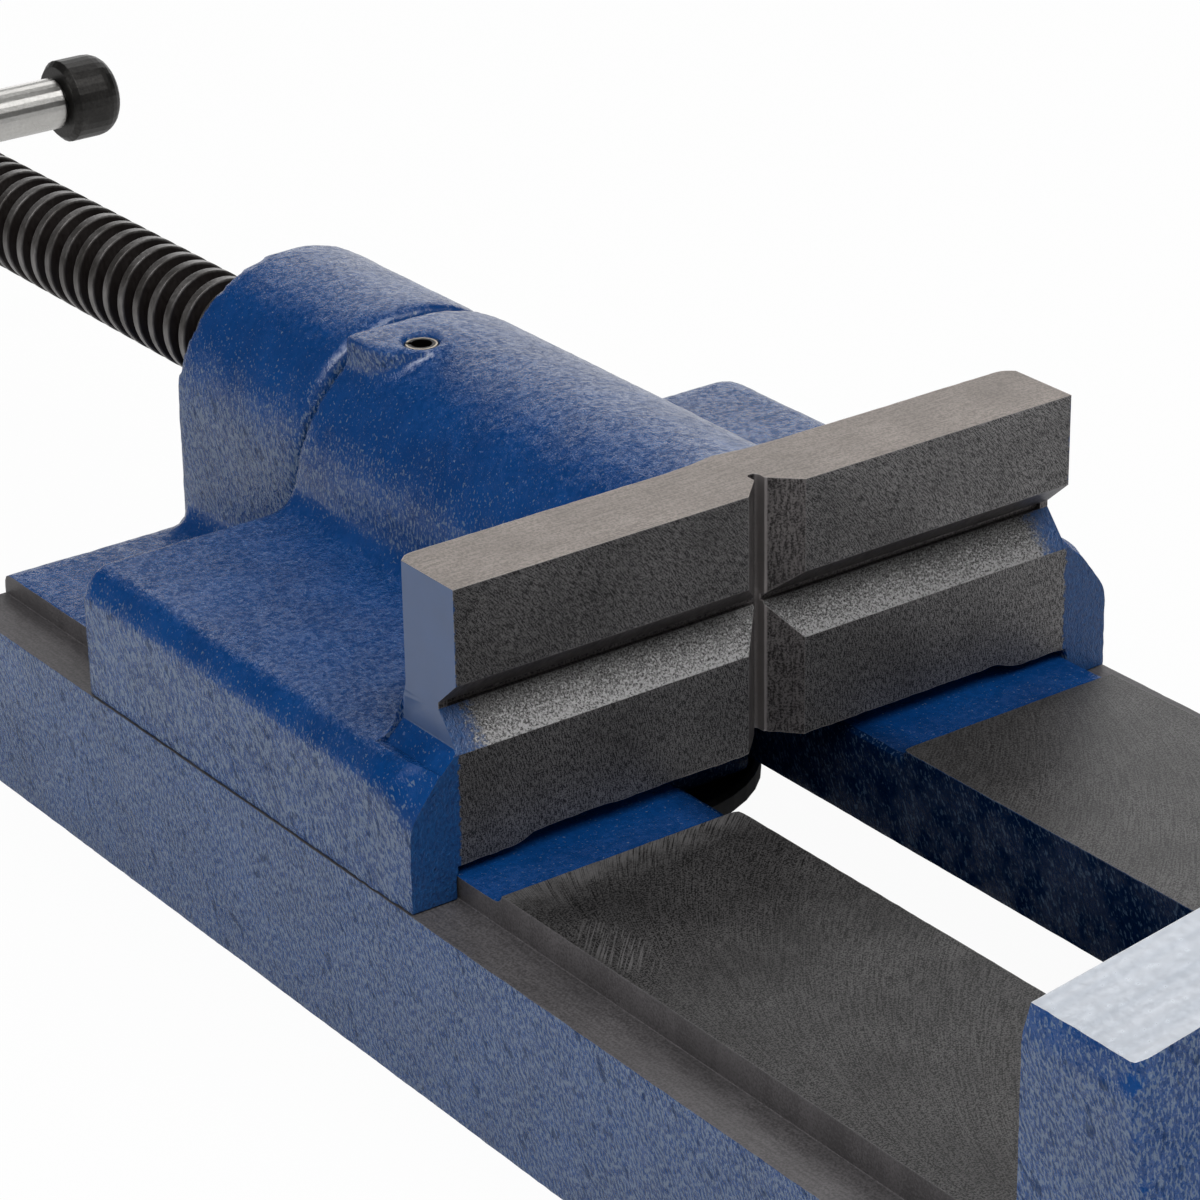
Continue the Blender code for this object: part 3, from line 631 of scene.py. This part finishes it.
def end_spray(start, end, grain, ragged, most):
    """Paint over a surface's ends, from start to end metres from the middle, with a ragged edge."""
    def painted(look):
        x = look.math("ABSOLUTE", look.axes()[0])
        off = look.times(look.less(grain(look), 0.5), ragged)
        return look.span(look.plus(x, off), start, end, 0.0, most)
    return painted


face_spray = end_spray(jaw_half - 0.0001, jaw_half + 0.0001, lambda look: look.grain(0.0009, 3, 0.7), 0.0022, 1.0)
flank_spray = end_spray(jaw_half - 0.0050, jaw_half - 0.0026, lambda look: look.grain(0.0007, 4, 0.8), 0.011, 0.95)


def screw_look():
    """Blackened steel, rubbed grey on the thread's crests."""
    look = Look("blackened_thread", (0.020, 0.018, 0.017), 0.36, metallic=0.6)
    x, _, z = look.axes()
    radius = look.math("SQRT", look.squares(x, look.less(z, screw_z)))
    rubbed = look.span(radius, screw_radius - 0.0004, screw_radius - 0.0001)
    scratch = look.grain(0.0004, 2, 0.6, stretch=(1, 1, 6))
    wear = look.times(rubbed, look.span(scratch, 0.3, 0.7, 0.55, 1.0))
    crest = look.mix(look.span(look.grain(0.006, 2), 0.4, 0.6), (0.10, 0.093, 0.088), (0.22, 0.21, 0.205))
    look.set("Base Color", look.mix(wear, (0.014, 0.010, 0.009), crest))
    look.set("Roughness", look.span(scratch, 0.3, 0.7, 0.30, 0.46))
    look.bump(scratch, 0.00004, edge=0.0003)
    return look.material


def pin_look():
    """Dark spring steel with a bright filed rim."""
    look = Look("spring_pin", (0.03, 0.028, 0.026), 0.35, metallic=0.8)
    speck = look.grain(0.0003, 3, 0.6)
    x, y, z = look.axes()
    radius = look.math("SQRT", look.squares(look.less(x, pin_x), look.less(y, pin_y)))
    rim = look.span(look.plus(radius, look.times(speck, 0.0003)), 0.00225, 0.00245)
    filed = look.times(rim, look.span(z, jaw_top_z - 0.0015, jaw_top_z - 0.0011))
    steel = look.mix(speck, (0.42, 0.36, 0.28), (0.70, 0.62, 0.50))
    look.set("Base Color", look.mix(filed, (0.012, 0.011, 0.010), steel))
    look.set("Roughness", look.span(speck, 0.3, 0.7, 0.30, 0.44))
    look.bump(speck, 0.00003)
    return look.material


def steel_look(name, colour, light, roughness, metallic):
    """Turned or plated steel with a faint grain."""
    look = Look(name, colour, roughness, metallic=metallic)
    speck = look.grain(0.0006, 3, 0.6)
    cloud = look.grain(0.008, 3, 0.55)
    share = look.times(look.span(speck, 0.3, 0.7), look.span(cloud, 0.3, 0.7))
    look.set("Base Color", look.mix(share, colour, light))
    look.set("Roughness", look.span(cloud, 0.3, 0.7, roughness - 0.06, roughness + 0.08))
    look.bump(speck, 0.00003, edge=0.0003)
    return look.material


# Moving jaw

def jaw_blank():
    """The moving jaw with stock left on what is machined, and its skin cast."""
    jaw = cad_copy("moving_jaw", "moving_jaw_casting")
    points = corners(jaw.data)
    wide = abs(points[:, 0])

    # The grooves start shallower, and are cut to size later
    behind = points[:, 1] - face_y
    level = (abs(points[:, 2] - jaw_top_z + 0.0195) < 0.0058) & (abs(behind - 0.004) > 0.0002)
    grooves = (behind > 0.0001) & (behind < 0.0068) & (level | (wide < 0.0055))
    points[grooves, 1] -= stock

    # The fillets below the bar's ends stand out further, as the voxels cut their corners
    fillet = (wide > 0.0551) & (wide < 0.0579) & (points[:, 2] > 0.0472) & (points[:, 2] < 0.0520)
    fillet &= points[:, 1] < bar_rear_y + 0.0001
    points[fillet, 0] += np.sign(points[fillet, 0]) * 0.0009
    store(jaw.data, points)

    def bar_side(p):
        return (p[:, 2] > 0.052) & (p[:, 1] < bar_rear_y)

    def below_wing(p):
        return p[:, 2] < wing_top_z

    push_out(jaw, [
        (1, face_y, -stock, everywhere),
        (2, jaw_top_z, stock, lambda p: p[:, 1] < bar_rear_y + 0.0001),
        (0, jaw_half, 0.0006, bar_side),
        (0, -jaw_half, -0.0006, bar_side),
        (2, skirt_z, -0.0010, lambda p: abs(p[:, 0]) > deck_half),
        (0, skirt_half, 0.0004, below_wing),
        (0, -skirt_half, -0.0004, below_wing),
    ])

    def calm(p):
        in_bar = p[:, 1] < bar_rear_y
        end = (abs(p[:, 0]) > jaw_half - 0.001) & (p[:, 2] > wing_top_z + 0.002) & in_bar
        lug = (abs(p[:, 0]) < slot_half + 0.0005) & (p[:, 2] < underside_z - 0.0005)
        lip = in_bar & (p[:, 2] < underside_z + 0.0015)
        return np.where(end, 0.15, np.where(lug, 0.1, np.where(lip, 2.2, 1.0)))

    def flare(p):
        near = (abs(p[:, 0]) > 0.0574) & (p[:, 1] < face_y + 0.009)
        return (near & (p[:, 2] > 0.0395) & (p[:, 2] < 0.0500)) * 1.0

    def boss_foot(p):
        away = np.hypot(p[:, 0] - pin_x, np.minimum(p[:, 1] - boss_y, 0))
        band = np.clip(1 - abs(away - 0.0088) / 0.0042, 0, 1)
        drop = np.clip((jaw_top_z - 0.0016 - p[:, 2]) / 0.0008, 0, 1)
        near = (p[:, 0] < 0.002) & (p[:, 2] > 0.055) & (p[:, 1] < slide_rear_y - 0.002)
        return np.where(near, np.minimum(band * 2, 1) * drop, 0)

    def tail(p):
        rear = (p[:, 1] > slide_rear_y - 0.0022) & (p[:, 2] > wing_top_z - 0.004)
        return np.where(rear & (p[:, 0] < 0.03), 1.0, 0.0)

    cast_skin(jaw, jaw_voxel, 3, calm, [(flare, 25), (boss_foot, 25), (tail, 5)])
    return jaw


def build_moving_jaw(looks):
    jaw = jaw_blank()
    groove_top_z = jaw_top_z - groove_drop
    root_z = groove_top_z - groove_upper_flank
    groove_low_z = root_z - groove_lower_flank
    root_y = face_y + groove_depth
    front_y = face_y - 0.01
    level_groove = [
        (front_y, groove_top_z), (face_y, groove_top_z), (root_y, root_z + relief_half),
        (root_y, root_z - relief_half), (face_y, groove_low_z), (front_y, groove_low_z),
    ]
    relief = [
        (root_y - 0.0001, root_z - relief_half), (root_y + relief_depth, root_z - relief_half),
        (root_y + relief_depth, root_z + relief_half), (root_y - 0.0001, root_z + relief_half),
    ]
    prism_root_y = face_y + prism_depth
    prism_bottom_y = prism_root_y + prism_relief_depth
    prism_lip_y = prism_root_y - prism_relief
    upright_groove = [
        (-prism_half, front_y), (prism_half, front_y), (prism_half, face_y), (prism_relief, prism_lip_y),
        *arc(0, prism_bottom_y - prism_relief, prism_relief, 0, math.pi, 12),
        (-prism_relief, prism_lip_y), (-prism_half, face_y),
    ]
    end_outline = [
        (jaw_half, far), (jaw_half, bar_end_z), (jaw_half + 0.0028, 0.0475), (jaw_half + 0.0046, 0.0480),
        (far, 0.0486), (far, far),
    ]
    ends = [
        prism(name, [(side * u, v) for u, v in end_outline], "XZ", front_y, bar_rear_y - 0.0004)
        for name, side in (("end_left", -1), ("end_right", 1))
    ]
    nose_bore_y = slide_rear_y - nose_depth - touch_gap
    seat_z = deck_z + 0.0002
    seat_in, seat_out = slot_half + 0.0006, deck_half + 0.0001
    combine(jaw, [
        block("front", (-far, face_y - 0.02, 0), (far, face_y, far)),
        block("top", (-far, face_y - 0.02, jaw_top_z), (far, far, far)),
        *ends,
        block("skirt", (-far, -far, 0.02), (-deck_half, far, skirt_z - 0.0001)),
        block("skirt_right", (deck_half, -far, 0.02), (far, far, skirt_z - 0.0001)),
        block("seat", (-seat_out, -far, 0.02), (-seat_in, far, seat_z)),
        block("seat_right", (seat_in, -far, 0.02), (seat_out, far, seat_z)),
        prism("level", level_groove, "YZ", -far, far),
        prism("relief", relief, "YZ", -jaw_half + 0.0015, jaw_half - 0.0015),
        prism("upright", upright_groove, "XY", 0, far),
        rod("nose", nose_radius + touch_gap, (0, screw_z), "Y", nose_bore_y, slide_rear_y + 0.01),
        rod("pin", pin_bore_radius, (pin_x, pin_y), "Z", underside_z - 0.01, far),
        rod("bolt", 0.0053, (0, lug_y), "Z", 0, 0.0266),
    ], "DIFFERENCE")

    upper_flank = (0, relief_half - groove_upper_flank, -groove_depth)
    lower_flank = (0, relief_half - groove_lower_flank, groove_depth)
    planes = [
        ((0, face_y, 0), (0, -1, 0), "face"),
        ((0, 0, jaw_top_z), (0, 0, 1), "top"),
        ((0, face_y, groove_top_z), upper_flank, "recess"),
        ((0, face_y, groove_low_z), lower_flank, "flank"),
        ((0, root_y + relief_depth, 0), (0, -1, 0), "recess"),
    ]
    for side in (-1, 1):
        prism_flank = (side * (prism_relief - prism_depth), prism_relief - prism_half, 0)
        planes += [
            ((side * prism_half, face_y, 0), prism_flank, "recess"),
            ((side * prism_relief, prism_root_y, 0), (-side, 0, 0), "recess"),
            ((side * jaw_half, 0, 0), (side, 0, 0), "bar_end"),
            ((side * jaw_half, 0, bar_end_z), (side, 0, 1), "bar_end"),
        ]

    def in_grooves(p):
        level = (p[:, 2] < groove_top_z) & (p[:, 2] > groove_low_z) & (p[:, 1] < root_y + relief_depth + 0.0001)
        upright = (abs(p[:, 0]) < prism_half) & (p[:, 1] < prism_bottom_y + 0.0001)
        return (level & (abs(p[:, 0]) < jaw_half - 0.0005)) | upright

    materials = {
        "paint": looks["paint"], "face": looks["jaw_face"], "top": looks["jaw_top"], "flank": looks["flank"],
        "recess": looks["recess"], "bar_end": looks["paint"],
    }
    finish_mesh(jaw, materials, planes, cut=(in_grooves, "recess"))
    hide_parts("moving_jaw")
    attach(jaw, "jaw")


# Base

def base_blank():
    """The base with stock left on what is machined, and its skin cast."""
    base = cad_copy("base_casting", "vise_base_casting")
    push_out(base, [
        (2, deck_z, stock, lambda p: p[:, 1] < milled_rear_y + 0.0002),
        (2, ledge_z, stock, lambda p: (abs(p[:, 0]) > deck_half - 0.0002) & (p[:, 1] > fixed_face_y - 0.0003)),
        (1, fixed_face_y, stock, lambda p: p[:, 2] > ledge_z - 0.0002),
        (0, deck_half, stock, everywhere),
        (0, -deck_half, -stock, everywhere),
        (2, 0.0, -stock, everywhere),
    ])
    points = corners(base.data)
    on_top = (points[:, 1] < fixed_face_y + 0.002) & (points[:, 2] > jaw_top_z - 0.0045)
    on_top &= abs(points[:, 0]) < base_half - 0.0006
    points[on_top, 2] += stock
    store(base.data, points)

    def calm(p):
        slot = (abs(p[:, 0]) < slot_half + 0.0015) & (p[:, 2] < deck_z - 0.002) & (p[:, 2] > 0.015)
        rails = (p[:, 2] < 0.0180) & (abs(p[:, 0]) < 0.05)
        return np.where(slot | rails, 0.4, 1.0)

    def post_rim(p):
        near = (p[:, 1] > post_front_y - 0.001) & (p[:, 1] < post_front_y + 0.0042)
        return np.where(near & (p[:, 2] > deck_z + 0.006), 1.0, 0.0)

    cast_skin(base, base_voxel, 2, calm, [(post_rim, 14)])
    return base


def build_base(looks):
    base = base_blank()
    low_z = jaw_top_z - (far - shoulder_half_flat) * shoulder_fall
    above_z = far + 0.02
    fixed_top = [
        (-far, low_z), (-shoulder_half_flat, jaw_top_z), (shoulder_half_flat, jaw_top_z),
        (far, low_z), (far, above_z), (-far, above_z),
    ]
    front_y, rear_y = -0.3, 0.2
    nut_start, nut_end = post_front_y - 0.005, base_rear_y + 0.01
    combine(base, [
        block("deck", (-far, fixed_face_y, deck_z), (far, post_front_y - 0.001, far)),
        block("ledge_left", (-far, fixed_face_y, ledge_z), (-deck_half, rear_y, far)),
        block("ledge_right", (deck_half, fixed_face_y, ledge_z), (far, rear_y, far)),
        block("foot", (-far, front_y, -0.02), (far, rear_y, 0)),
        prism("fixed_top", fixed_top, "XZ", front_y, fixed_face_y + 0.005),
        rod("nut", screw_radius + touch_gap, (0, screw_z), "Y", nut_start, nut_end, 96),
    ], "DIFFERENCE")
    planes = [
        ((0, 0, deck_z), (0, 0, 1), "deck"),
        ((0, 0, ledge_z), (0, 0, 1), "ledge"),
        ((deck_half, 0, 0), (1, 0, 0), "ledge"),
        ((-deck_half, 0, 0), (-1, 0, 0), "ledge"),
        ((0, fixed_face_y, 0), (0, 1, 0), "face"),
        ((0, 0, 0), (0, 0, -1), "ledge"),
        ((0, 0, jaw_top_z), (0, 0, 1), "top"),
        ((shoulder_half_flat, 0, jaw_top_z), (shoulder_fall, 0, 1), "top"),
        ((-shoulder_half_flat, 0, jaw_top_z), (-shoulder_fall, 0, 1), "top"),
    ]
    materials = {
        "paint": looks["paint"], "deck": looks["deck"], "ledge": looks["ledge"], "face": looks["jaw_face"],
        "top": looks["fixed_top"],
    }
    finish_mesh(base, materials, planes)
    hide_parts("base_casting")
    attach(base, "base")


# Screw

def thread_solid(start, end, crest, root, count=72):
    """A right-hand trapezoidal thread about the screw's axis, with rough ends past start and end."""
    steps = [(0.0, crest), (0.30, crest), (0.50, root), (0.80, root)]
    turns = math.ceil((end - start) / pitch) + 2
    form = bmesh.new()
    columns = [
        [
            form.verts.new(on_axis(radius, 2 * math.pi * index / count,
                                   start + pitch * (turn - 1 + share + index / count)))
            for turn in range(turns) for share, radius in steps
        ]
        for index in range(count)
    ]
    for index, left in enumerate(columns):
        right = columns[(index + 1) % count]
        # The last column meets the first one a turn further on
        ahead = len(steps) if index == count - 1 else 0
        for row in range(len(left) - 1 - ahead):
            form.faces.new((left[row], left[row + 1], right[row + 1 + ahead], right[row + ahead]))
    loops = [edge for edge in form.edges if len(edge.link_faces) == 1]
    bmesh.ops.holes_fill(form, edges=loops, sides=0)
    return solid_object("lead_screw_thread", form)


def build_screw(look):
    front = slide_rear_y + touch_gap
    rear = hub_front_y - touch_gap
    chamfer = 0.0016
    over = 0.001
    outer = screw_radius + over
    screw = thread_solid(front, hub_front_y, screw_radius, screw_radius - thread_depth)
    envelope = turned("envelope", [
        (screw_radius - chamfer, front), (outer, front + chamfer + over),
        (outer, rear - chamfer - over), (screw_radius - chamfer, rear),
    ])
    combine(screw, [envelope], "INTERSECT")
    nose_end = slide_rear_y - nose_depth
    nose_chamfer = 0.0015
    neck_front, neck_rear = pin_y - pin_bore_radius, pin_y + pin_bore_radius
    nose = turned("nose", [
        (nose_radius - nose_chamfer, nose_end), (nose_radius, nose_end + nose_chamfer), (nose_radius, neck_front),
        (neck_radius, neck_front), (neck_radius, neck_rear), (nose_radius, neck_rear), (nose_radius, front + over),
    ])
    spigot = turned("spigot", [(0.006, rear - over), (0.006, rear + 0.012)])
    combine(screw, [nose, spigot], "UNION")
    cross = rod("cross", pin_bore_radius, (0, hub_front_y + 0.0062), "Z", screw_z - 0.02, screw_z + 0.02)
    combine(screw, [cross], "DIFFERENCE")
    finish_mesh(screw, {"thread": look}, angle=30)
    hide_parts("lead_screw")
    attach(screw, "screw")


def dress_nodes(looks):
    """Materials for the CAD pieces that stay."""
    for node, look in looks.items():
        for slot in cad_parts[node].material_slots:
            slot.material = look


# Studio

def make_camera():
    """The camera fitted to the photograph's edges: its place is seen from the jaw's top front edge."""
    azimuth, elevation, roll = (math.radians(a) for a in (-35.93, 24.95, -0.98))
    flat = math.cos(elevation)
    back = Vector((math.sin(azimuth) * flat, -math.cos(azimuth) * flat, math.sin(elevation)))
    right = Vector((math.cos(azimuth), math.sin(azimuth), 0))
    up = back.cross(right)
    rolled_right = right * math.cos(roll) + up * math.sin(roll)
    rolled_up = up * math.cos(roll) - right * math.sin(roll)
    place = Vector((-0.33379, -0.41797 + face_y, 0.23180 + jaw_top_z))
    turn = Matrix((rolled_right, rolled_up, back)).transposed().to_4x4()
    focal_pixels, frame_pixels = 4175, 1200
    camera = add_object("camera", bpy.data.cameras.new("camera"))
    camera.matrix_world = Matrix.Translation(place) @ turn
    camera.data.sensor_width = 36
    camera.data.lens = 36 * focal_pixels / frame_pixels
    camera.data.clip_start = 0.01
    scene.camera = camera


def add_lamp(name, direction, distance, width, height, level, mirrored=True, lights=True):
    """A soft rectangular lamp that faces the vise; level is its brightness, where 1 is white.

    Without mirrored it leaves no reflection, and without lights it leaves only that.
    """
    data = bpy.data.lights.new(name, "AREA")
    data.shape = "RECTANGLE"
    data.size = width
    data.size_y = height
    data.energy = level * math.pi * width * height
    lamp = add_object(name, data)
    heading = Vector(direction).normalized()
    place = Vector((0, 0, 0.04)) + heading * distance
    lamp.matrix_world = Matrix.Translation(place) @ heading.to_track_quat("Z", "Y").to_matrix().to_4x4()
    lamp.visible_camera = False
    lamp.visible_glossy = mirrored
    lamp.visible_diffuse = lights


def make_floor():
    """A wide pale floor that the camera sees almost white and that the vise reflects only faintly."""
    count = 48
    angles = [2 * math.pi * index / count for index in range(count)]
    form = bmesh.new()
    middle = form.verts.new((0, 0, floor_z))
    rings = [
        [form.verts.new((radius * math.cos(a), radius * math.sin(a), floor_z)) for a in angles]
        for radius in (0.5, 1, 2, 4, 8)
    ]
    for index in range(count):
        after = (index + 1) % count
        form.faces.new((middle, rings[0][index], rings[0][after]))
        for low, high in zip(rings, rings[1:]):
            form.faces.new((low[index], high[index], high[after], low[after]))
    floor = form_object("studio_floor", form)
    look = Look("floor", (0.86, 0.86, 0.86), 0.9, specular=0.2)
    look.set("Base Color", look.mix(look.grain(0.05, 3, 0.5), (0.85, 0.85, 0.85), (0.88, 0.88, 0.88)))
    path = look.node("ShaderNodeLightPath")
    seen = look.most(path.outputs["Is Camera Ray"], look.times(path.outputs["Is Glossy Ray"], 0.2))
    glow = look.node("ShaderNodeEmission", {"Color": (1, 1, 1), "Strength": 1.0})
    inputs = {0: look.times(seen, 0.96), 1: look.shader.outputs[0], 2: glow.outputs[0]}
    blend = look.node("ShaderNodeMixShader", inputs)
    look.tree.links.new(blend.outputs[0], look.tree.nodes["Material Output"].inputs["Surface"])
    floor.data.materials.append(look.material)


def make_world(level, mirrored):
    """A white backdrop for the camera, which lights the vise at one level and reflects in it at another."""
    world = bpy.data.worlds.new("studio")
    scene.world = world
    world.use_nodes = True
    tree = world.node_tree
    background = tree.nodes["Background"]
    background.inputs["Color"].default_value = (1, 1, 1, 1)
    path = tree.nodes.new("ShaderNodeLightPath")
    soft = tree.nodes.new("ShaderNodeMapRange")
    soft.inputs["To Min"].default_value = level
    soft.inputs["To Max"].default_value = mirrored
    tree.links.new(path.outputs["Is Glossy Ray"], soft.inputs["Value"])
    reach = tree.nodes.new("ShaderNodeMapRange")
    tree.links.new(soft.outputs[0], reach.inputs["To Min"])
    reach.inputs["To Max"].default_value = 1.0
    tree.links.new(path.outputs["Is Camera Ray"], reach.inputs["Value"])
    tree.links.new(reach.outputs[0], background.inputs["Strength"])


looks = {
    "paint": paint_look(),
    "jaw_face": metal_look(
        "milled_jaw_face", (0.030, 0.029, 0.031), (0.290, 0.282, 0.282), 0.42, face_cut,
        grain_size=0.00022, share=0.45, metallic=0.65, painted=face_spray, spread=0.060),
    "jaw_top": metal_look(
        "ground_jaw_top", (0.190, 0.166, 0.150), (0.370, 0.325, 0.296), 0.40, lines(1, 0, 0.0003, 18),
        grain_size=0.00036, share=0.3, distance=0.00002),
    # Painted reflection: the fixed jaw's ground top is given a pale bluish colour for the bright backdrop it
    # reflects
    "fixed_top": metal_look(
        "ground_fixed_top_painted_sheen", (0.47, 0.51, 0.57), (0.57, 0.60, 0.65), 0.34, lines(1, 0, 0.0016, 40, 1),
        grain_size=0.0012, share=0.85, distance=0.000002, metallic=0.4, spread=0.25, cloudy=0.10),
    "flank": metal_look(
        "groove_flank", (0.030, 0.029, 0.029), (0.21, 0.208, 0.208), 0.38,
        grain_size=0.00022, distance=0.00006, painted=flank_spray, lit=flank_lit),
    "recess": metal_look(
        "groove_recess", (0.040, 0.036, 0.037), (0.25, 0.232, 0.230), 0.42, lines(0, 2, 0.0003, 8),
        grain_size=0.00030, share=0.4, metallic=0.65, lit=recess_lit, spread=0.075),
    "deck": metal_look(
        "milled_deck", (0.011, 0.0105, 0.011), (0.138, 0.134, 0.134), 0.42, deck_cut,
        grain_size=0.00026, share=0.30, metallic=0.6, lit=deck_rubbed_and_lit, spread=0.060),
    "ledge": metal_look(
        "milled_ledge", (0.080, 0.075, 0.078), (0.155, 0.146, 0.151), 0.48, lines(0, 1, 0.0004, 12),
        grain_size=0.00036, share=0.3, distance=0.00003, metallic=0.3),
}
black = steel_look("black_oxide", (0.022, 0.021, 0.020), (0.060, 0.057, 0.054), 0.40, 0.7)
bright = steel_look("bright_bar", (0.48, 0.47, 0.45), (0.62, 0.61, 0.59), 0.30, 1.0)
zinc = steel_look("zinc_plate", (0.45, 0.46, 0.47), (0.66, 0.67, 0.68), 0.33, 1.0)
keeper = steel_look("keeper_black", (0.004, 0.004, 0.004), (0.012, 0.012, 0.011), 0.6, 0.3)

make_camera()
make_world(0.28, 0.03)
make_floor()
add_lamp("key", (0.02, -0.50, 0.866), 1.3, 1.7, 0.70, 3.0)
add_lamp("glint", (-0.33, -0.14, 0.93), 1.3, 1.35, 0.70, 3.4, lights=False)
add_lamp("backdrop", (0.53, 0.84, 0.09), 1.5, 1.4, 0.85, 1.6)
add_lamp("window", (0.51, 0.54, 0.67), 1.5, 0.75, 0.60, 2.0)
add_lamp("left", (-0.9, 0.15, 0.35), 1.2, 0.8, 0.6, 2.0, mirrored=False)

build_base(looks)
build_moving_jaw(looks)
build_screw(screw_look())
dress_nodes({
    "keeper_plate": keeper, "screw_head": black, "bar_knob_left": black, "bar_knob_right": black,
    "tommy_bar": bright, "lock_washer": zinc, "keeper_bolt": zinc, "spindle_pin": pin_look(), "head_pin": black,
})

scene.view_settings.view_transform = "Standard"
